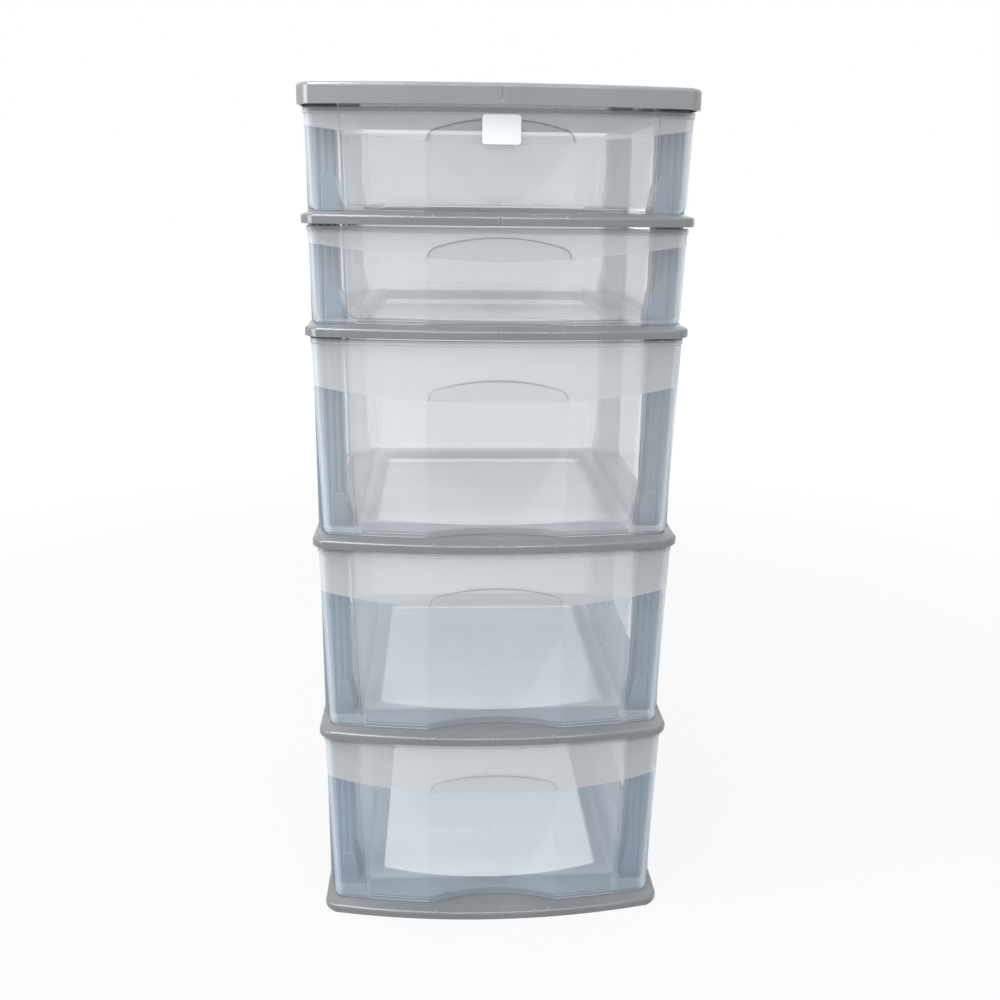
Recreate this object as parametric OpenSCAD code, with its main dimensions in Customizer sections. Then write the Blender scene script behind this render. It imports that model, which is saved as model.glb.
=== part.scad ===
// Five-drawer plastic tower: grey shelves, posts and cover, with clear drawers that slide out.
// Millimetres. Origin on the floor under the middle, drawers open towards -Y, +Z is up.

/* [Overall size] */
// width over the lips of the shelves and the cover
tower_w = 390; // [360:5:460]
// depth from the middle of the front lip to the back edge
tower_d = 450; // [390:5:520]
// how far the front lip bows forward in its middle
front_bow = 23; // [18:1:30]
// corner radius of the shelves and the cover seen from above
corner_r = 28; // [24:1:36]

/* [Levels] */
// height of one deep level, from shelf to shelf
deep_pitch = 222.5; // [185:0.5:270]
// height of one shallow level, from shelf to shelf
shallow_pitch = 109.5; // [95:0.5:140]

/* [Shelves] */
// height of a shelf from the bottom of its lip to its deck
shelf_t = 12; // [11:0.5:13]
// thickness of the deck
deck_t = 3; // [2.5:0.5:4]
// thickness of the skirts and walls under the deck
skirt_t = 3; // [2:0.5:4]
// height of the upright face of the lip
lip_face_h = 8.8; // [7:0.2:10]
// how far the top of the lip slopes up before it reaches the deck
lip_slope = 12; // [8:0.5:16]
// rounding between the lip's face and its slope
lip_edge_r = 3; // [1:0.5:4]
// width of the opening in a shelf
opening_w = 260; // [200:5:268]
// depth of the deck in front of the opening, on the centre line
front_bar = 65.5; // [60:0.5:90]
// depth of the deck behind the opening
rear_bar = 32; // [20:1:60]
// how far the front edge of the opening bows forward
opening_bow = 23.5; // [10:0.5:30]
// corner radius of the opening
opening_r = 6; // [3:1:20]
// height of the rails the drawers run on
rail_h = 4; // [3:0.5:6]
// width of the rails the drawers run on
rail_w = 5; // [4:0.5:6]
// thickness of the ribs under the deck
rib_t = 2; // [1.5:0.5:3]
// depth of the little moulding nick in the middle of each lip
nick_d = 0.8; // [0.4:0.1:1.2]

/* [Cover] */
// height of the cover
cover_t = 20; // [16:1:26]
// rounding along the top edge of the cover
cover_edge_r = 4; // [2:0.5:6]

/* [Posts] */
// width of a post seen from the front
post_w = 29.5; // [26:0.5:29.5]
// depth of a post seen from the side
post_l = 38; // [34:1:46]
// wall thickness of a post
post_wall = 2.4; // [2:0.2:3]
// corner radius of a post
post_r = 5; // [4:0.5:7]
// gap between a post's outer face and the edge of the shelf
post_edge = 3; // [3:0.5:4]
// distance from the front corner of the lip back to the front posts
front_post_back = 43; // [36:1:60]
// distance from the back edge of the shelf to the rear posts
rear_post_gap = 8; // [5:0.5:16]
// radius of the grooves down each post
groove_r = 2.4; // [1.5:0.1:3]
// how far each post's foot flares inwards
foot_flare = 5.5; // [3:0.5:6]
// height of the flare at a post's foot
foot_h = 36; // [20:1:44]
// height of the plugs and collars that locate a post
socket_h = 8; // [6:0.5:8.5]
// play between a post and its plug or collar
socket_play = 0.3; // [0.2:0.05:0.5]

/* [Drawers] */
// wall thickness of a drawer
drawer_wall = 2; // [1.6:0.1:2.4]
// gap between the top of a drawer's face and the lip above it
face_gap_top = 2.2; // [1.5:0.1:4]
// gap between the bottom of a drawer's face and the deck under it
face_gap_bottom = 0.6; // [0.4:0.1:1.5]
// distance from the lip's front back to the bottom of a deep drawer's face
face_back = 14; // [12:0.5:20]
// gap between the edge of the shelf and the side of a drawer's face at its top
face_side_gap = 5.5; // [4:0.5:9]
// slope of the drawer's face and its sides from the upright, in degrees
face_draft = 1.75; // [0.5:0.05:2]
// radius of the upright edges of a drawer's face, at its foot
face_edge_r = 8; // [6:0.5:12]
// radius of the bottom corners of a drawer's face seen from the front
face_corner_r = 9; // [6:0.5:14]
// how far the wings of the face turn back beside the box
wing_l = 16; // [10:1:22]
// height of the rim along the top of a drawer's face
face_rim_h = 5; // [3:0.5:8]
// how far that rim stands out
face_rim_out = 0.8; // [0.4:0.1:1.4]
// half width of the box of a drawer at its top
box_half_w = 155.5; // [140:0.5:155.5]
// slope of the box's walls from the upright, in degrees
box_draft = 2.1; // [0.5:0.1:2.5]
// rounding between the box's walls and its floor
box_floor_r = 9; // [5:0.5:10]
// radius of the box's upright corners at the floor
box_corner_r = 12; // [10:1:20]
// gap between the back of the box and the back edge of the shelf
box_back_gap = 24; // [12:1:60]
// how far the rim of the box stands out
box_rim_out = 1.3; // [0.8:0.1:1.3]
// height of the rim round the box
box_rim_h = 4; // [3:0.5:6]
// gap between the top of the box and the lip above it
box_gap_top = 6; // [4:0.5:12]
// gap between the box's floor and the rails under it
run_gap = 0.4; // [0.3:0.1:0.8]

/* [Finger scoop] */
// half width of the scooped panel in a drawer's face
scoop_half_w = 71; // [50:1:90]
// depth of the scoop at the bottom of the face, on the centre line
scoop_d = 18; // [12:0.5:22]
// step into the scooped panel at the top of its arch
scoop_step = 1; // [0.6:0.1:1.6]
// height of the arch at the top of the scooped panel
arch_h = 21; // [16:0.5:26]
// radius of the tight ends of that arch
arch_end_r = 12; // [6:0.5:14]
// distance from the top of a deep level down to the arch
arch_down_deep = 42; // [30:1:60]
// distance from the top of a shallow level down to the arch
arch_down_shallow = 11.5; // [10:0.5:24]

/* [Floor mark] */
// radius of the round moulding mark on a drawer's floor
gate_r = 7; // [4:0.5:10]
// height of that mark
gate_h = 0.6; // [0.3:0.1:1]
// how far in front of the tower's middle that mark lies
gate_forward = 65; // [0:5:80]

/* [Label] */
// width of the blank label on the top drawer
label_w = 37; // [24:1:50]
// height of the label
label_h = 27; // [18:1:30]
// corner radius of the label
label_r = 3; // [1:0.5:5]
// thickness of the label
label_t = 0.4; // [0.3:0.1:0.6]
// distance from the rim of the drawer's face down to the label
label_drop = 0.4; // [0.3:0.1:4]

/* [Hidden] */

$fn = 96;
// pieces of one solid run this far into each other
bite = 1;
arc_steps = 6;
crown_steps = 20;
corner_ease = 1.06;
frame_grey = [0.68, 0.70, 0.71];
clear_plastic = [0.86, 0.90, 0.93, 0.45];
label_white = [0.95, 0.95, 0.96];

// heights of the shelves, numbered from the top like the drawers above them
level_5 = 0;
level_4 = deep_pitch;
level_3 = 2 * deep_pitch;
level_2 = 3 * deep_pitch;
level_1 = 3 * deep_pitch + shallow_pitch;
level_0 = 3 * deep_pitch + 2 * shallow_pitch;

half_w = tower_w / 2;
front_y = -tower_d / 2;
back_y = tower_d / 2;
deck_z = shelf_t - deck_t;

// the bowed front is one big circle that runs into the rounded corners
bow_r = bow_radius(half_w, front_bow);
bow_y = front_y + bow_r;

// the opening in each shelf
open_half = opening_w / 2;
open_front = front_y + front_bar;
open_back = back_y - rear_bar;

// places of the posts
post_x = half_w - post_edge - post_w / 2;
front_post_y = front_y + front_bow + front_post_back + post_l / 2;
rear_post_y = back_y - rear_post_gap - post_l / 2;
collar_wall = 2;
label_gap = 0.05;

// heights in a drawer, from the bottom of the shelf it stands on
face_z0 = shelf_t + face_gap_bottom;
floor_z = shelf_t + rail_h + run_gap;

// the rails, one on each side of the opening
rail_x = open_half + 2 + rail_w / 2;
rail_front = open_front + opening_bow + 6;
rail_back = open_back - 4;

// the drawer's box, and where the wings of its face end
box_back = back_y - box_back_gap;
wing_y = front_y + face_back + front_bow + wing_l;
floor_half = box_half_w - box_corner_r;

function bow_radius(a, bow) = (a * a + bow * bow) / (2 * bow);
function corner_y(a, cy, big, r) = cy - sqrt(pow(big - r, 2) - pow(a - r, 2));
function arc(cx, cy, r, from, to, steps) = [
    for (i = [0:steps])
        let (t = from + (to - from) * i / steps)
        [cx + r * cos(t), cy + r * sin(t)]
];

// a section lists points of an edge from bottom to top: [distance in from the outline, height]
function upright(inset, low, high) = [[inset, low], [inset, high]];
function taller(section) =
    let (first = section[0], last = section[len(section) - 1])
    concat([[first[0], first[1] - 2]], section, [[last[0], last[1] + 2]]);

// points of that edge at the given reach, or at its mirror image on the way down
function edge(section, reach) = [for (p = section) [reach - p[0], p[1]]];
function mirrored(points) = [for (i = [len(points) - 1:-1:0]) [-points[i][0], points[i][1]]];

// round solid with that edge
module turned(reach, section) {
    points = edge(taller(section), reach);
    rotate_extrude()
        polygon(concat([[0, points[0][1]]], points, [[0, points[len(points) - 1][1]]]));
}

// straight bar with that edge on both sides
module side_edges(a, front, back, section) {
    right = edge(taller(section), a);
    translate([0, back + 20, 0])
        rotate([90, 0, 0])
            linear_extrude(back - front + 80) polygon(concat(right, mirrored(right)));
}

// straight bar with that edge along its back
module back_edge(a, front, back, section) {
    points = edge(section, back);
    far = front - 70;
    translate([-a - 20, 0, 0])
        rotate([90, 0, 90])
            linear_extrude(2 * a + 40)
                polygon(concat(points, [[far, points[len(points) - 1][1]], [far, points[0][1]]]));
}

// what a rounded corner takes off, outside a circle slightly larger than one that touches both sides
module corner_waste(x, y, r, section, plan) {
    low = section[0][1];
    high = section[len(section) - 1][1];
    difference() {
        translate([x, y, low - 1]) linear_extrude(high - low + 2) polygon(plan);
        translate([x, y, 0]) turned(r * corner_ease, section);
    }
}

// plan of a rear corner's quarter, from near to far off its centre
function rear_quarter(s, near, far) = [[s * near, 0], [s * far, 0], [s * far, far], [0, far], [0, near]];

// solid with a bowed front, straight sides and back, rounded corners and the given edge
module bow_slab(a, front, back, big, r, section) {
    cy = front + big;
    yf = corner_y(a, cy, big, r);
    turn = asin((a - r) / (big - r));
    near = r / 4;
    far = 4 * r;
    difference() {
        intersection() {
            translate([0, cy, 0]) turned(big, section, $fn = 720);
            side_edges(a, front, back, section);
            back_edge(a, front, back, section);
        }
        for (s = [-1, 1]) {
            corner_waste(s * (a - r), yf, r, section,
                         [[s * near * sin(turn), -near * cos(turn)],
                          [s * far * sin(turn), -far * cos(turn)],
                          [s * far, -far], [s * far, 0], [s * near, 0]]);
            corner_waste(s * (a - r), back - r, r, section, rear_quarter(s, near, far));
        }
    }
}

// the same with a straight front that is cut off later
module open_slab(a, front, back, r, section) {
    difference() {
        intersection() {
            side_edges(a, front, back, section);
            back_edge(a, front, back, section);
        }
        for (s = [-1, 1])
            corner_waste(s * (a - r), back - r, r, section, rear_quarter(s, r / 4, 4 * r));
    }
}

// slab with the outline of a shelf
module shelf_slab(section) {
    bow_slab(half_w, front_y, back_y, bow_r, corner_r, section);
}

// slab with the outline of the opening in a shelf
module opening_slab(grow, low, high) {
    bow_slab(open_half, open_front, open_back, bow_radius(open_half, opening_bow), opening_r,
             upright(-grow, low, high));
}

// edge of a shelf's lip: upright face, rounded edge, slope up to the deck
function lip_section() =
    let (slope = atan((shelf_t - lip_face_h) / lip_slope),
         cz = lip_face_h - lip_edge_r * tan((90 - slope) / 2))
    concat([[0.4, 0], [0, 0.4]],
           arc(lip_edge_r, cz, lip_edge_r, 180, 90 + slope, arc_steps),
           [[lip_slope, shelf_t]]);

// room under that lip and the deck
function under_lip_section() = [
    [skirt_t, -bite],
    [skirt_t, lip_face_h - deck_t],
    [lip_slope + 1, deck_z]
];

// edge of the cover: upright face and a rounded top
function cover_section() =
    concat([[0.5, 0], [0, 0.5]],
           arc(cover_edge_r, cover_t - cover_edge_r, cover_edge_r, 180, 90, arc_steps));

module at_posts() {
    for (s = [-1, 1]) {
        translate([s * post_x, front_post_y, 0]) children();
        translate([s * post_x, rear_post_y, 0]) children();
    }
}

module rounded_rect(w, l, r) {
    square([w - 2 * r, l], center = true);
    square([w, l - 2 * r], center = true);
    for (sx = [-1, 1]) for (sy = [-1, 1])
        translate([sx * (w / 2 - r), sy * (l / 2 - r)]) circle(r = r, $fn = 48);
}

// flat ring that locates the end of a post
module locating_ring(w, l, r) {
    difference() {
        rounded_rect(w, l, r);
        rounded_rect(w - 2 * collar_wall, l - 2 * collar_wall, max(r - collar_wall, 0.6));
    }
}

// plugs on top of a piece, for the hollow feet of the posts
module foot_plugs() {
    inner = post_wall + socket_play;
    at_posts()
        translate([0, 0, shelf_t - bite])
            linear_extrude(socket_h + bite)
                locating_ring(post_w - 2 * inner, post_l - 2 * inner, post_r - post_wall);
}

// flat pads that carry the feet of the posts where the lip slopes away
module foot_pads() {
    at_posts()
        translate([0, 0, deck_z])
            linear_extrude(deck_t)
                rounded_rect(post_w, post_l, post_r);
}

// keeps what lies inside the middle of the outer skirt, up to the given height
module inside_skirt(height) {
    intersection() {
        children();
        shelf_slab(upright(skirt_t / 2, -bite, height));
    }
}

// collars under a piece, round the tops of the posts
module head_collars(height) {
    outer = socket_play + collar_wall;
    inside_skirt(height + bite)
        at_posts()
            translate([0, 0, bite])
                linear_extrude(height)
                    locating_ring(post_w + 2 * outer, post_l + 2 * outer, post_r + outer);
}

// room kept free for the top of each post
module head_rooms(height) {
    at_posts()
        translate([0, 0, -bite])
            linear_extrude(height + bite)
                rounded_rect(post_w + 2 * socket_play, post_l + 2 * socket_play,
                             post_r + socket_play);
}

// stiffening ribs under the deck, between the outer skirt and the one round the opening
module deck_ribs() {
    side_l = half_w - open_half - 2;
    rib_h = deck_z - 2 + bite;
    for (s = [-1, 1]) {
        for (y = [front_post_y + post_l / 2 + 24, 0, rear_post_y - post_l / 2 - 24])
            translate([s * (open_half + half_w) / 2 - side_l / 2, y - rib_t / 2, 2])
                cube([side_l, rib_t, rib_h]);
        translate([s * open_half / 2 - rib_t / 2, front_y + skirt_t, 2])
            cube([rib_t, front_bar - skirt_t + opening_bow / 3, rib_h]);
        translate([s * open_half / 2 - rib_t / 2, open_back + 1, 2])
            cube([rib_t, rear_bar - 2, rib_h]);
    }
}

module rails() {
    for (s = [-1, 1])
        translate([s * rail_x - rail_w / 2, rail_front, shelf_t - bite])
            cube([rail_w, rail_back - rail_front, rail_h + bite]);
}

module lip_nick(z) {
    translate([0, front_y - 1 + nick_d, z]) cylinder(r = 1, h = shelf_t, $fn = 48);
}

module shelf(z, has_posts_below) {
    color(frame_grey)
    translate([0, 0, z])
    difference() {
        union() {
            difference() {
                shelf_slab(lip_section());
                shelf_slab(under_lip_section());
            }
            opening_slab(skirt_t, bite, deck_z + bite);
            rails();
            foot_pads();
            foot_plugs();
            deck_ribs();
            if (has_posts_below) head_collars(deck_z);
        }
        opening_slab(0, -bite, shelf_t + bite);
        if (has_posts_below) head_rooms(deck_z);
        lip_nick(-bite);
    }
}

module top_cover() {
    color(frame_grey)
    translate([0, 0, level_0])
    difference() {
        union() {
            difference() {
                shelf_slab(cover_section());
                shelf_slab(upright(skirt_t, -bite, cover_t - deck_t));
            }
            head_collars(cover_t - deck_t);
        }
        head_rooms(cover_t - deck_t);
        lip_nick(cover_edge_r);
    }
}

// grooves down the four faces of a post
module grooves_2d() {
    for (s = [-1, 0, 1]) for (m = [-1, 1]) {
        translate([s * post_w / 4, m * (post_l / 2 + groove_r * 0.5)])
            circle(r = groove_r, $fn = 48);
        translate([m * (post_w / 2 + groove_r * 0.5), s * post_l / 4])
            circle(r = groove_r, $fn = 48);
    }
}

// the flare at a post's foot, towards the middle of the tower
module post_flare(side) {
    intersection() {
        translate([-side * foot_flare / 2, 0, 0])
            linear_extrude(foot_h)
                rounded_rect(post_w + foot_flare, post_l, post_r);
        translate([0, post_l / 2 + bite, 0])
            rotate([90, 0, 0])
                linear_extrude(post_l + 2 * bite)
                    polygon([
                        [0, 0],
                        [-side * (post_w / 2 + foot_flare), 0],
                        [-side * (post_w / 2 + foot_flare), 3],
                        [-side * (post_w / 2 - 1.5), foot_h],
                        [0, foot_h]
                    ]);
    }
}

// hollow grooved post standing on one shelf and reaching up into the next
module post(side, row, z, pitch) {
    head_z = z + pitch > level_0 - 1 ? cover_t - deck_t : deck_z;
    height = pitch + head_z - shelf_t;
    color(frame_grey)
    translate([side * post_x, row > 0 ? rear_post_y : front_post_y, z + shelf_t])
    difference() {
        union() {
            linear_extrude(height)
                difference() {
                    rounded_rect(post_w, post_l, post_r);
                    grooves_2d();
                }
            post_flare(side);
        }
        translate([0, 0, -bite])
            linear_extrude(height + 2 * bite)
                rounded_rect(post_w - 2 * post_wall, post_l - 2 * post_wall,
                             post_r - post_wall);
    }
}

// front view of a drawer's face, moved in by off
module face_outline(pitch, off) {
    rise = (pitch - face_gap_top - face_z0) * tan(face_draft);
    hw = half_w - face_side_gap - rise + face_corner_r * tan(face_draft) - off;
    cr = max(face_corner_r - off, 1);
    zb = face_z0 + off;
    translate([-(hw - cr), zb]) square([2 * (hw - cr), pitch]);
    translate([-half_w, zb + cr]) square([tower_w, pitch]);
    for (s = [-1, 1]) translate([s * (hw - cr), zb + cr]) circle(r = cr);
}

// block behind a drawer's sloping bowed face, moved in by off, within the face's front view
module face_block(pitch, off) {
    top = pitch - face_gap_top;
    slope = tan(face_draft);
    rise = (top - face_z0) * slope;
    foot = face_z0 - 3;
    rim_z = top - face_rim_h;
    section = off > 0
        ? [[off + (top - foot) * slope, foot], [off - bite * slope, top + bite]]
        : [[(top - foot) * slope, foot], [face_rim_h * slope, rim_z],
           [-face_rim_out, rim_z], [-face_rim_out, top]];
    intersection() {
        bow_slab(half_w - face_side_gap, front_y + face_back - rise, back_y + 20,
                 bow_r - face_back + rise, face_edge_r + rise, section);
        translate([0, back_y + 30, 0])
            rotate([90, 0, 0])
                linear_extrude(tower_d + 60) {
                    face_outline(pitch, off);
                    if (off > 0)
                        translate([-floor_half, face_z0 - 2])
                            square([2 * floor_half, off + 4]);
                }
    }
}

// the part of the tower's depth that the face and its wings take up
module front_zone(pitch, over) {
    translate([-half_w, front_y - 20, 0])
        cube([tower_w, wing_y - front_y + 20 + over, pitch + over]);
}

// edge of the box's wall and floor, moved in by off
function box_section(off, top, r) =
    let (slope = tan(box_draft),
         z0 = floor_z + off,
         low = (top - z0) * slope + off + r * tan((90 - box_draft) / 2))
    concat([for (p = arc(0, z0 + r, r, -90, -box_draft, arc_steps)) [low - p[0], p[1]]]);

// outside of a drawer's box with its rim, or with off the room inside it
module box_block(pitch, off) {
    top = pitch - box_gap_top;
    slope = tan(box_draft);
    corner = box_corner_r + (top - floor_z) * slope;
    rim_z = top - box_rim_h;
    section = off > 0
        ? concat(box_section(off, top, box_floor_r - off), [[off - bite * slope, top + bite]])
        : concat(box_section(0, top, box_floor_r),
                 [[box_rim_h * slope, rim_z], [-box_rim_out, rim_z], [-box_rim_out, top]]);
    open_slab(box_half_w, front_y - 20, box_back, corner, section);
}

// front view of the scooped panel: upright sides and a basket arch on top
module arch_shape(apex, grow) {
    a = scoop_half_w;
    e = arch_end_r;
    crown = (pow(a - e, 2) + arch_h * arch_h - e * e) / (2 * (arch_h - e));
    spring = apex - arch_h;
    turn = asin((a - e) / (crown - e));
    points = concat(
        [[a + grow, 0]],
        arc(a - e, spring, e + grow, 0, 90 - turn, arc_steps),
        arc(0, apex - crown, crown + grow, 90 - turn, 90 + turn, crown_steps),
        arc(e - a, spring, e + grow, 90 + turn, 180, arc_steps),
        [[-a - grow, 0]]
    );
    polygon(points);
}

// room in front of the scooped panel, or with off also the panel's own thickness
module scoop(pitch, arch_down, off) {
    apex = pitch - arch_down;
    top_y = front_y + face_back - (apex - face_z0) * tan(face_draft) + scoop_step + off;
    low_y = front_y + face_back + scoop_d;
    side_y = front_y + face_back + scoop_half_w * scoop_half_w / (2 * bow_r);
    big = bow_radius(scoop_half_w, low_y - side_y);
    intersection() {
        translate([0, low_y - big, 0]) cylinder(r = big + off, h = pitch, $fn = 360);
        translate([-scoop_half_w - 10, 0, 0])
            rotate([90, 0, 90])
                linear_extrude(2 * scoop_half_w + 20)
                    polygon([
                        [front_y - 20, -bite],
                        [low_y + off + bite, -bite],
                        [low_y + off + bite, floor_z],
                        [top_y, apex],
                        [top_y, apex + 10],
                        [front_y - 20, apex + 10]
                    ]);
        translate([0, front_y + 60, 0])
            rotate([90, 0, 0])
                linear_extrude(90) arch_shape(apex, off);
    }
}

// everything behind a drawer's sloping bowed face between two heights, moved out by out
module face_cone(z0, z1, out) {
    translate([0, bow_y, z0])
        cylinder(r1 = bow_r - face_back + (z0 - face_z0) * tan(face_draft) + out,
                 r2 = bow_r - face_back + (z1 - face_z0) * tan(face_draft) + out,
                 h = z1 - z0, $fn = 720);
}

// one clear drawer: box, bowed face with turned-back wings, rims and finger scoop
module drawer(z, pitch, arch_down) {
    color(clear_plastic)
    translate([0, 0, z]) {
        difference() {
            intersection() {
                face_block(pitch, 0);
                union() {
                    box_block(pitch, 0);
                    front_zone(pitch, 0);
                }
            }
            difference() {
                intersection() {
                    face_block(pitch, drawer_wall);
                    union() {
                        box_block(pitch, drawer_wall);
                        difference() {
                            front_zone(pitch, bite);
                            box_block(pitch, 0);
                        }
                    }
                }
                scoop(pitch, arch_down, drawer_wall);
            }
            scoop(pitch, arch_down, 0);
        }
        translate([0, -gate_forward, floor_z + drawer_wall - bite])
            cylinder(r = gate_r, h = gate_h + bite, $fn = 48);
    }
}

// blank sticker on the face of the top drawer
module front_label() {
    pitch = shallow_pitch;
    top = pitch - face_gap_top - face_rim_h;
    mid = top - label_drop - label_h / 2;
    color(label_white)
    translate([0, 0, level_1])
    intersection() {
        difference() {
            face_cone(mid - label_h, mid + label_h, label_gap + label_t);
            face_cone(mid - label_h - bite, mid + label_h + bite, label_gap);
        }
        translate([0, front_y + 60, mid])
            rotate([90, 0, 0])
                linear_extrude(90) rounded_rect(label_w, label_h, label_r);
    }
}

shelf(level_5, false);  // base_shelf
shelf(level_4, true);  // shelf_4
shelf(level_3, true);  // shelf_3
shelf(level_2, true);  // shelf_2
shelf(level_1, true);  // shelf_1
top_cover();
post(-1, 0, level_5, deep_pitch);  // post_front_left_5
post(1, 0, level_5, deep_pitch);  // post_front_right_5
post(-1, 1, level_5, deep_pitch);  // post_rear_left_5
post(1, 1, level_5, deep_pitch);  // post_rear_right_5
post(-1, 0, level_4, deep_pitch);  // post_front_left_4
post(1, 0, level_4, deep_pitch);  // post_front_right_4
post(-1, 1, level_4, deep_pitch);  // post_rear_left_4
post(1, 1, level_4, deep_pitch);  // post_rear_right_4
post(-1, 0, level_3, deep_pitch);  // post_front_left_3
post(1, 0, level_3, deep_pitch);  // post_front_right_3
post(-1, 1, level_3, deep_pitch);  // post_rear_left_3
post(1, 1, level_3, deep_pitch);  // post_rear_right_3
post(-1, 0, level_2, shallow_pitch);  // post_front_left_2
post(1, 0, level_2, shallow_pitch);  // post_front_right_2
post(-1, 1, level_2, shallow_pitch);  // post_rear_left_2
post(1, 1, level_2, shallow_pitch);  // post_rear_right_2
post(-1, 0, level_1, shallow_pitch);  // post_front_left_1
post(1, 0, level_1, shallow_pitch);  // post_front_right_1
post(-1, 1, level_1, shallow_pitch);  // post_rear_left_1
post(1, 1, level_1, shallow_pitch);  // post_rear_right_1
drawer(level_1, shallow_pitch, arch_down_shallow);  // drawer_1
drawer(level_2, shallow_pitch, arch_down_shallow);  // drawer_2
drawer(level_3, deep_pitch, arch_down_deep);  // drawer_3
drawer(level_4, deep_pitch, arch_down_deep);  // drawer_4
drawer(level_5, deep_pitch, arch_down_deep);  // drawer_5
front_label();
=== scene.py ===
import math

import bmesh
import bpy
from mathutils import Matrix, Vector

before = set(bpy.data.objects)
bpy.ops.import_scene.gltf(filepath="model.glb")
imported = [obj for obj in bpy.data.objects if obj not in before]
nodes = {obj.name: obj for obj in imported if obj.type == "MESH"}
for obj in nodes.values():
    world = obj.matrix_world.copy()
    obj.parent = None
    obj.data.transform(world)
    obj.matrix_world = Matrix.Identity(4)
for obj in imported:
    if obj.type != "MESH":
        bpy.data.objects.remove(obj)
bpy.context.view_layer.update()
print("frame loaded,", len(nodes), "nodes")

perMetre = 1000           # millimetres in a metre
noiseMiddle = 0.5         # what the noise swings about


# one output of a shader node, so that shader maths reads as ordinary sums
class Wire:
    def __init__(self, graph, socket):
        self.graph = graph
        self.socket = socket

    def maths(self, operation, first, second=None):
        values = {0: first} if second is None else {0: first, 1: second}
        return self.graph.add("ShaderNodeMath", {"operation": operation}, values)

    def __add__(self, other):
        return self.maths("ADD", self, other)

    def __sub__(self, other):
        return self.maths("SUBTRACT", self, other)

    def __rsub__(self, other):
        return self.maths("SUBTRACT", other, self)

    def __mul__(self, other):
        return self.maths("MULTIPLY", self, other)

    def __truediv__(self, other):
        return self.maths("DIVIDE", self, other)

    def __pow__(self, other):
        return self.maths("POWER", self, other)

    def __abs__(self):
        return self.maths("ABSOLUTE", self)

    # the larger of the two
    def __or__(self, other):
        return self.maths("MAXIMUM", self, other)

    # another output of the same node
    def __getitem__(self, name):
        return Wire(self.graph, self.socket.node.outputs[name])

    __radd__ = __add__
    __rmul__ = __mul__


# rounding of sharp edges: samples, and how far the normal turns where an edge starts and is full
rounding = {"samples": 6, "starts": 0.01, "full": 0.12}


class Graph:
    def __init__(self, owner):
        self.owner = owner
        owner.use_nodes = True
        self.tree = owner.node_tree
        self.tree.nodes.clear()

    # settings are set first; inputs are values or wires, by socket name or number
    def add(self, kind, settings=None, inputs=None, out=0):
        node = self.tree.nodes.new(kind)
        for key, value in (settings or {}).items():
            setattr(node, key, value)
        for key, value in (inputs or {}).items():
            socket = node.inputs[key]
            if isinstance(value, Wire):
                self.tree.links.new(value.socket, socket)
            elif socket.type == "RGBA":
                socket.default_value = (*value, 1)
            else:
                socket.default_value = value
        return Wire(self, node.outputs[out]) if len(node.outputs) else None

    # detail is how many finer layers there are, rough how strong they are
    def noise(self, where, scale, detail, rough=0.5):
        return self.add("ShaderNodeTexNoise", {"noise_dimensions": "3D"},
                        {"Vector": where, "Scale": scale, "Detail": detail, "Roughness": rough})

    # 0 to 1 as the value goes from low to high
    def ramp(self, value, low, high, shape="SMOOTHSTEP"):
        return self.add("ShaderNodeMapRange", {"interpolation_type": shape},
                        {"Value": value, "From Min": low, "From Max": high})

    def blend(self, factor, first, second):
        return self.add("ShaderNodeMix", {"data_type": "RGBA"},
                        {0: factor, 6: first, 7: second}, 2)

    def bump(self, height, strength, distance, normal):
        return self.add("ShaderNodeBump", None, {
            "Height": height, "Strength": strength, "Distance": distance, "Normal": normal})

    # the normal, turned round sharp edges
    def soften(self, radius):
        return self.add("ShaderNodeBevel", {"samples": rounding["samples"]}, {"Radius": radius})

    # 1 where the softened normal leaves the surface's own, on sharp edges, and 0 elsewhere
    def edges(self, soft):
        own = self.add("ShaderNodeNewGeometry", out="Normal")
        dot = self.add("ShaderNodeVectorMath", {"operation": "DOT_PRODUCT"},
                       {0: soft, 1: own}, "Value")
        return self.ramp(1 - dot, rounding["starts"], rounding["full"])

    def plastic(self, colour, rough, normal, bend, others=None):
        inputs = {"Base Color": colour, "Roughness": rough, "Normal": normal, "IOR": bend}
        return self.add("ShaderNodeBsdfPrincipled", None, {**inputs, **(others or {})})

    def finish(self, shader):
        self.add("ShaderNodeOutputMaterial", inputs={"Surface": shader})
        return self.owner


def newGraph(name):
    return Graph(bpy.data.materials.new(name))


def wear(obj, material):
    obj.data.materials.clear()
    obj.data.materials.append(material)


# grey frame: satin silver-grey moulded plastic, its sharp edges painted lighter as a highlight
grey = {
    "edgeColour": (0.64, 0.66, 0.67),
    "edgeShare": 0.65,
    "edgeRadius": 0.0007,
    "roughness": 0.18,
    "bend": 1.6,              # index of refraction, for how strongly it shines
    "metallic": 0.12,
    "cloud": (9.0, 3.0),      # noise scale and detail
    "speck": (900.0, 1.0),
    "grain": (2600.0, 2.0),
    "cloudShare": 0.7,        # of the mottling, the rest is speck
    "speckShare": 0.3,
    "mottling": (0.38, 0.62), # noise at which it is all darker, all lighter
    "cloudRough": 0.05,
    "speckRough": 0.10,
    "grainStrength": 0.12,
    "grainHeight": 0.0002,
}
# darker and lighter parts of the mottling; the cover and the rear posts wear lighter copies of the
# shelf grey, painted light, and the front posts a bluer copy, painted bluish light
greyShades = {
    "shelfPlastic": ((0.165, 0.17, 0.175), (0.185, 0.19, 0.195)),
    "coverPlasticPaintedLight": ((0.22, 0.225, 0.23), (0.24, 0.245, 0.25)),
    "frontPostPlasticPaintedBlueLight": ((0.175, 0.225, 0.27), (0.20, 0.255, 0.305)),
    "rearPostPlasticPaintedLight": ((0.43, 0.455, 0.475), (0.47, 0.495, 0.515)),
}


# which grey each frame part wears; the cover and the posts wear the painted-light copies
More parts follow.
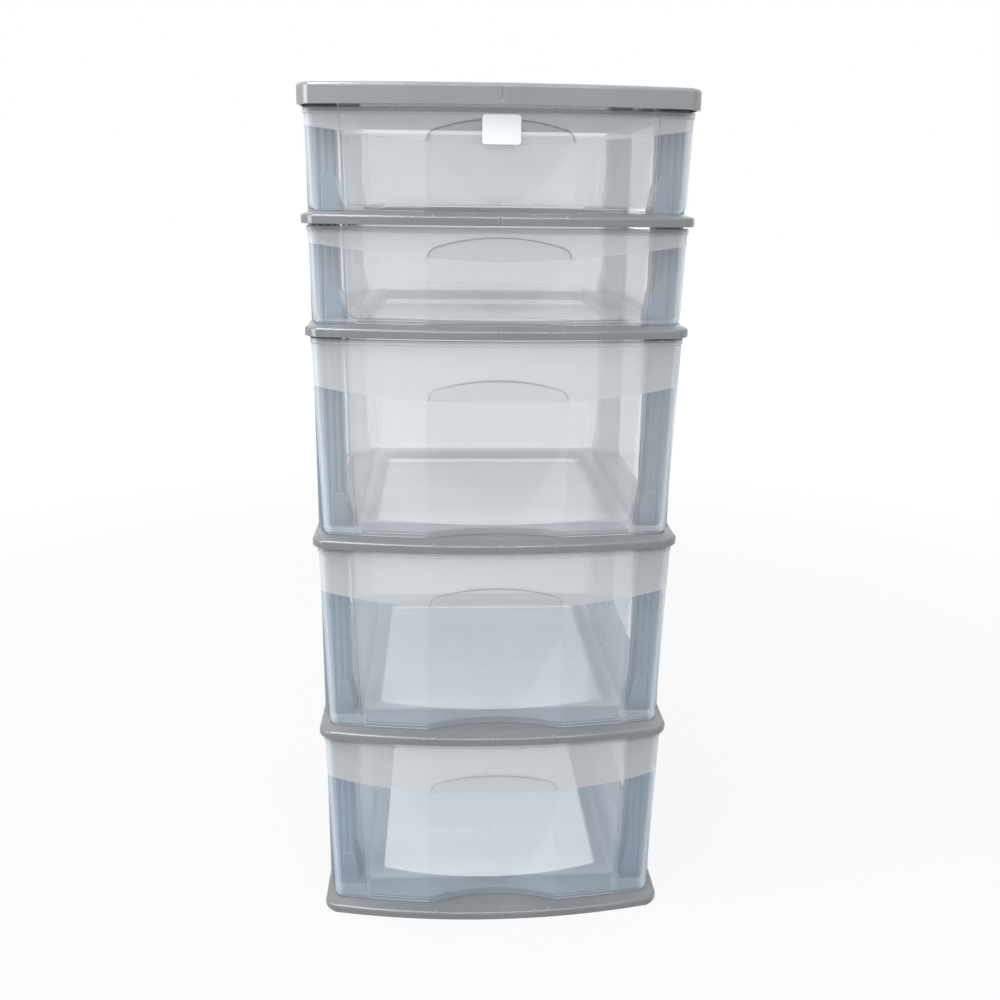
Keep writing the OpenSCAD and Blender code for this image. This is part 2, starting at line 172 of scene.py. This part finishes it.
def greyKind(name):
    if name == "top_cover":
        return "coverPlasticPaintedLight"
    if name.startswith("post_front"):
        return "frontPostPlasticPaintedBlueLight"
    if name.startswith("post_rear"):
        return "rearPostPlasticPaintedLight"
    return "shelfPlastic"


def greyPlastic(name, darker, lighter):
    g = newGraph(name)
    where = g.add("ShaderNodeTexCoord", out="Object")
    soft = g.soften(grey["edgeRadius"])
    edge = g.edges(soft)
    cloud = g.noise(where, *grey["cloud"])
    speck = g.noise(where, *grey["speck"])
    mottling = g.ramp(cloud * grey["cloudShare"] + speck * grey["speckShare"], *grey["mottling"])
    colour = g.blend(mottling, darker, lighter)
    # sharp edges blended towards a pale grey: a painted highlight
    colour = g.blend(edge * grey["edgeShare"], colour, grey["edgeColour"])
    rough = (grey["roughness"] + grey["cloudRough"] * (cloud - noiseMiddle)
             + grey["speckRough"] * (speck - noiseMiddle))
    grain = g.noise(where, *grey["grain"])
    normal = g.bump(grain, grey["grainStrength"], grey["grainHeight"], soft)
    return g.finish(g.plastic(colour, rough, normal, grey["bend"], {"Metallic": grey["metallic"]}))


# drawers: thin clear plastic, frosted in a band along the top of the face
clear = {
    "tint": (0.67, 0.71, 0.75),
    "boxTint": (0.90, 0.91, 0.92),
    # bluer tints for the lower drawers: painted bluish shade
    "lowTint": (0.56, 0.66, 0.76),
    "lowBoxTint": (0.80, 0.85, 0.90),
    "frost": (0.62, 0.63, 0.64),
    # the bluish white of the painted highlight on edges and side strips, and the dark of the
    # painted shade lines
    "edgeColour": (0.86, 0.92, 0.97),
    "lineColour": (0.16, 0.18, 0.20),
    "edgeShare": 0.8,
    "sideShare": 0.4,
    "archShare": 0.5,
    "quietScoop": 0.8,        # how much fainter the painted edge highlight and the edge haze are on the scooped panel
    "faceAlpha": 0.14,
    "boxAlpha": 0.32,
    "frostAlpha": 0.29,
    "sideAlpha": 0.20,
    "grazeAlpha": 0.42,
    "edgeAlpha": 0.38,
    "archAlpha": 0.09,
    "sillAlpha": 0.24,
    "hazeAlpha": 0.05,
    "roughness": 0.15,
    "frostRoughness": 0.48,
    "hazeRough": 0.10,
    "bend": 1.65,
    "edgeRadius": 0.0012,
    "wander": (14.0, 2.0),    # noise scale and detail
    "haze": (30.0, 3.0, 0.6), # and how strong the detail is
    "fine": (1500.0, 1.0),
    "fineFrost": (0.95, 0.1), # strength of the frost where the fine noise is 0, and what 1 adds
    "graze": (0.35, 3),       # blend and power of walls seen at a low angle
    "ripple": (0.08, 0.0006),     # strength and height
    "frostGrain": (0.10, 0.0002),
}
# the drawer's face, in millimetres: where it starts, its half width at the top, how it narrows
# down, and the strips along its two sides, which are painted lighter as a highlight
face = {
    "back": -164.0,
    "front": -170.0,
    "halfWidth": 189.5,
    "narrowing": 0.0306,
    "sideStart": -11.0,
    "sideEnd": -3.0,
}
# the frosted band and the basket arch on top of the scooped panel, in millimetres
deepBand = {"middle": 65.0, "rise": 12.8, "power": 2.6, "apex": 42.0}
shallowBand = {"middle": 35.0, "rise": 15.0, "power": 1.6, "apex": 11.5}
bandEdge = {"reach": 180.0, "wander": 1.2, "blur": 0.7}
scoop = {
    "halfWidth": 71.0,
    "rise": 21.0,
    "endRadius": 12.0,
    "join": 0.1,              # over which crown and end of the arch meet, to either side
    "lineHalf": 0.6,
    "blur": 0.5,
    "lineEnd": 1.0,
    "sill": 27.0,
    "sillBlur": 3.0,
    "sillEnds": (1.0, -3.0),  # past the half width, where the foot line is gone and full
    "panelEnds": (5.0, 2.0),  # the same for the whole panel
    "panelTop": (8.0, 10.0),  # depth at which the panel begins
}
drawers = {
    "drawer_1": {"top": 886.5, "foot": 777.0, "band": shallowBand, "blueShade": 0.0},
    "drawer_2": {"top": 777.0, "foot": 667.5, "band": shallowBand, "blueShade": 0.0},
    "drawer_3": {"top": 667.5, "foot": 445.0, "band": deepBand, "blueShade": 0.0},
    "drawer_4": {"top": 445.0, "foot": 222.5, "band": deepBand, "blueShade": 0.6},
    "drawer_5": {"top": 222.5, "foot": 0.0, "band": deepBand, "blueShade": 1.0},
}


# how far a point of the face is from the arch, at the given place across and depth below the top
def archOffset(g, across, depth, apex):
    end = scoop["endRadius"]
    reach = scoop["halfWidth"] - end
    crown = (reach ** 2 + scoop["rise"] ** 2 - end ** 2) / (2 * (scoop["rise"] - end))
    turn = crown * reach / (crown - end)
    onCrown = abs((across ** 2 + (apex + crown - depth) ** 2) ** 0.5 - crown)
    onEnd = abs(((across - reach) ** 2 + (apex + scoop["rise"] - depth) ** 2) ** 0.5 - end)
    pastTurn = g.ramp(across, turn - scoop["join"], turn + scoop["join"], "LINEAR")
    return onCrown + (onEnd - onCrown) * pastTurn


# 1 inside the half width of the scooped panel, fading over the two given distances past it
def withinScoop(g, across, ends):
    return g.ramp(across, *(scoop["halfWidth"] + past for past in ends))


# the lower drawers are tinted a little bluer, a painted bluish shade; the last argument says how
# much
def clearPlastic(name, top, foot, band, blueShade):
    g = newGraph(name)
    tint = Vector(clear["tint"]).lerp(clear["lowTint"], blueShade)
    boxTint = Vector(clear["boxTint"]).lerp(clear["lowBoxTint"], blueShade)
    where = g.add("ShaderNodeTexCoord", out="Object")
    place = g.add("ShaderNodeSeparateXYZ", None, {"Vector": where})
    across = abs(perMetre * place)
    z = perMetre * place["Z"]
    depth = top - z
    soft = g.soften(clear["edgeRadius"])
    edge = g.edges(soft)
    wander = g.noise(where, *clear["wander"])
    haze = g.noise(where, *clear["haze"]) - noiseMiddle
    fine = g.noise(where, *clear["fine"])

    # the face is clear, the box behind it is hazier
    inFront = g.ramp(perMetre * place["Y"], face["back"], face["front"])
    reach = band["middle"] - band["rise"] * (across / bandEdge["reach"]) ** band["power"]
    reach = reach + bandEdge["wander"] * (wander - noiseMiddle)
    frost = g.ramp(reach - depth, -bandEdge["blur"], bandEdge["blur"]) * inFront
    # the strips along the face's two sides are more opaque, and painted lighter as a highlight
    halfWidth = face["halfWidth"] - face["narrowing"] * depth
    side = g.ramp(across - halfWidth, face["sideStart"], face["sideEnd"]) * inFront

    # the arch and the foot of the scooped panel are painted dark shade lines, its creases are
    # faint
    archFoot = band["apex"] + scoop["rise"]
    offset = archOffset(g, across, depth, band["apex"])
    arch = g.ramp(offset, scoop["lineHalf"] + scoop["blur"], scoop["lineHalf"])
    arch = arch * g.ramp(depth, archFoot + scoop["lineEnd"], archFoot) * inFront
    inScoop = withinScoop(g, across, scoop["panelEnds"]) * inFront
    inScoop = inScoop * g.ramp(depth, *scoop["panelTop"])
    sill = g.ramp(z - foot, scoop["sill"], scoop["sill"] - scoop["sillBlur"])
    sill = edge * sill * withinScoop(g, across, scoop["sillEnds"]) * inScoop
    glint = edge * (1 - arch) * (1 - inScoop * clear["quietScoop"])

    colour = g.blend(inFront, boxTint, tint)
    colour = g.blend(frost, colour, clear["frost"])
    # sharp edges and the side strips blended towards bluish white: a painted highlight
    paintedHighlight = glint * clear["edgeShare"] | side * clear["sideShare"]
    colour = g.blend(paintedHighlight, colour, clear["edgeColour"])
    # the arch and the foot of the scooped panel darkened: painted shade lines
    colour = g.blend(arch * clear["archShare"] | sill, colour, clear["lineColour"])
    blend, power = clear["graze"]
    graze = g.add("ShaderNodeLayerWeight", None, {"Blend": blend}, "Facing") ** power
    even, speckled = clear["fineFrost"]
    alpha = (clear["boxAlpha"] + (clear["faceAlpha"] - clear["boxAlpha"]) * inFront
             + clear["frostAlpha"] * frost * (even + speckled * fine) + clear["hazeAlpha"] * haze
             + clear["sideAlpha"] * side + clear["grazeAlpha"] * graze
             + clear["edgeAlpha"] * glint + clear["archAlpha"] * arch + clear["sillAlpha"] * sill)
    rough = (clear["roughness"] + (clear["frostRoughness"] - clear["roughness"]) * frost
             + clear["hazeRough"] * haze)
    ripple = g.bump(wander, *clear["ripple"], soft)
    normal = g.bump(fine * frost, *clear["frostGrain"], ripple)
    return g.finish(g.plastic(colour, rough, normal, clear["bend"], {"Alpha": alpha}))


# label: blank glossy paper
label = {
    "colour": (0.80, 0.81, 0.84),
    "fibreColour": (0.76, 0.77, 0.80),
    "fibre": (700.0, 3.0, 0.7),
    "roughness": 0.35,
    "fibreRough": 0.1,
    "bump": (0.08, 0.0001),
    "bend": 1.45,
    "edgeRadius": 0.0003,
}


def labelPaper():
    g = newGraph("labelPaper")
    where = g.add("ShaderNodeTexCoord", out="Object")
    fibre = g.noise(where, *label["fibre"])
    colour = g.blend(fibre, label["colour"], label["fibreColour"])
    rough = label["roughness"] + label["fibreRough"] * (fibre - noiseMiddle)
    normal = g.bump(fibre, *label["bump"], g.soften(label["edgeRadius"]))
    return g.finish(g.plastic(colour, rough, normal, label["bend"]))


greys = {kind: greyPlastic(kind, *shades) for kind, shades in greyShades.items()}
for name, node in nodes.items():
    if name in drawers:
        wear(node, clearPlastic("clear_" + name, **drawers[name]))
    elif name == "front_label":
        wear(node, labelPaper())
    else:
        wear(node, greys[greyKind(name)])
print("materials given")


# studio: plain pale floor and sky
studio = {
    "above": 1.30,
    "level": 0.31,
    "below": 0.07,
    "skyHeights": (-0.4, 0.0, 0.6), # at which it is as below, as level, as above
    "skyColour": (0.95, 0.98, 1.0),
    "white": (1.0, 1.0, 1.0),
    "plainWhite": 1.0,
    "paper": (0.26, 0.26, 0.26),
    "paperDark": (0.23, 0.23, 0.23),
    "paperRoughness": 0.9,
    "paperSpeck": (120.0, 3.0),     # noise scale and detail
    "glow": 1.06,
    "shine": 0.84,                  # share of the floor that shows plain white near the object
    "nearFloor": 1.0,
    "farFloor": 3.0,
    "floorSize": 40.0,
    "floorParts": 8,
    "clearLayers": 32,              # see-through walls a ray may cross
}


# 1 for what the camera sees, straight, through something or reflected
def seenShare(g):
    path = g.add("ShaderNodeLightPath")
    return path | path["Is Glossy Ray"] | path["Is Transmission Ray"]


def floorMaterial():
    g = newGraph("paleFloor")
    where = g.add("ShaderNodeTexCoord", out="Object")
    away = g.add("ShaderNodeVectorMath", {"operation": "LENGTH"}, {0: where}, "Value")
    speck = g.noise(where, *studio["paperSpeck"])
    paper = g.add("ShaderNodeBsdfPrincipled", None, {
        "Base Color": g.blend(speck, studio["paper"], studio["paperDark"]),
        "Roughness": studio["paperRoughness"]})
    glow = g.add("ShaderNodeEmission", None, {
        "Color": studio["white"], "Strength": studio["glow"]})
    farShare = g.ramp(away, studio["nearFloor"], studio["farFloor"])
    white = seenShare(g) * (studio["shine"] + (1 - studio["shine"]) * farShare)
    return g.finish(g.add("ShaderNodeMixShader", None, {0: white, 1: paper, 2: glow}))


def makeFloor():
    bm = bmesh.new()
    parts = studio["floorParts"]
    bmesh.ops.create_grid(bm, x_segments=parts, y_segments=parts, size=studio["floorSize"] / 2)
    mesh = bpy.data.meshes.new("floor")
    bm.to_mesh(mesh)
    bm.free()
    floor = bpy.data.objects.new("floor", mesh)
    bpy.context.scene.collection.objects.link(floor)
    wear(floor, floorMaterial())


# pale light from above, less from the sides and below; the camera sees plain white
def makeWorld():
    world = bpy.data.worlds.new("studio")
    g = Graph(world)
    ahead = g.add("ShaderNodeTexCoord", out="Generated")
    up = g.add("ShaderNodeSeparateXYZ", None, {"Vector": ahead}, "Z")
    low, middle, high = studio["skyHeights"]
    below, level, above = studio["below"], studio["level"], studio["above"]
    strength = (below + (level - below) * g.ramp(up, low, middle)
                + (above - level) * g.ramp(up, middle, high))
    light = g.add("ShaderNodeBackground", None, {
        "Color": studio["skyColour"], "Strength": strength})
    white = g.add("ShaderNodeBackground", None, {
        "Color": studio["white"], "Strength": studio["plainWhite"]})
    both = g.add("ShaderNodeMixShader", None, {0: seenShare(g), 1: light, 2: white})
    g.add("ShaderNodeOutputWorld", None, {"Surface": both})
    bpy.context.scene.world = world


lamps = {
    "keyLeft": {
        "place": (-1.4, -1.0, 3.2), "size": (1.4, 1.4), "watts": 66.0,
        "colour": (0.93, 0.97, 1.0)},
    "stripLeft": {
        "place": (-2.6, -0.5, 0.9), "size": (0.5, 2.0), "watts": 20.0,
        "colour": (0.86, 0.94, 1.0)},
    "stripFront": {
        "place": (-0.2, -2.6, 2.4), "size": (2.8, 0.10), "watts": 46.0,
        "colour": (1.0, 1.0, 1.0)},
    "fillRight": {
        "place": (2.6, -1.8, 1.6), "size": (1.4, 1.6), "watts": 7.0,
        "colour": (1.0, 1.0, 1.0)},
}
lampAim = (0, 0, 0.45)


def makeLamps():
    for name, lamp in lamps.items():
        data = bpy.data.lights.new(name, "AREA")
        data.shape = "RECTANGLE"
        data.size, data.size_y = lamp["size"]
        data.energy = lamp["watts"]
        data.color = lamp["colour"]
        obj = bpy.data.objects.new(name, data)
        obj.location = lamp["place"]
        aim = Vector(lampAim) - obj.location
        obj.rotation_euler = aim.to_track_quat("-Z", "Y").to_euler()
        bpy.context.scene.collection.objects.link(obj)


# pinhole camera fitted to the edges measured in the photograph
camera = {
    "place": (-0.05639, -1.29150, 0.80685),
    "yaw": 0.05475,
    "pitch": 0.27635,
    "roll": 0.01222,
    "focal": 1079.76,         # pixels, in an image of the given width
    "imageWidth": 1000,
    "sensor": 36.0,
    "nearest": 0.05,
    "farthest": 100.0,
}


def makeCamera():
    yaw, pitch, roll = camera["yaw"], camera["pitch"], camera["roll"]
    ahead = Vector((math.sin(yaw) * math.cos(pitch),
                    math.cos(yaw) * math.cos(pitch), -math.sin(pitch)))
    side = Vector((math.cos(yaw), -math.sin(yaw), 0))
    up = side.cross(ahead)
    right = math.cos(roll) * side + math.sin(roll) * up
    top = -math.sin(roll) * side + math.cos(roll) * up
    data = bpy.data.cameras.new("photoCamera")
    data.sensor_width = camera["sensor"]
    data.sensor_fit = "HORIZONTAL"
    data.lens = camera["focal"] / camera["imageWidth"] * camera["sensor"]
    data.clip_start = camera["nearest"]
    data.clip_end = camera["farthest"]
    obj = bpy.data.objects.new("photoCamera", data)
    turn = Matrix((right, top, -ahead)).transposed().to_4x4()
    obj.matrix_world = Matrix.Translation(camera["place"]) @ turn
    bpy.context.scene.collection.objects.link(obj)
    bpy.context.scene.camera = obj


makeFloor()
makeWorld()
makeLamps()
makeCamera()
scene = bpy.context.scene
scene.view_settings.view_transform = "Standard"
scene.cycles.transparent_max_bounces = studio["clearLayers"]
print("studio ready")
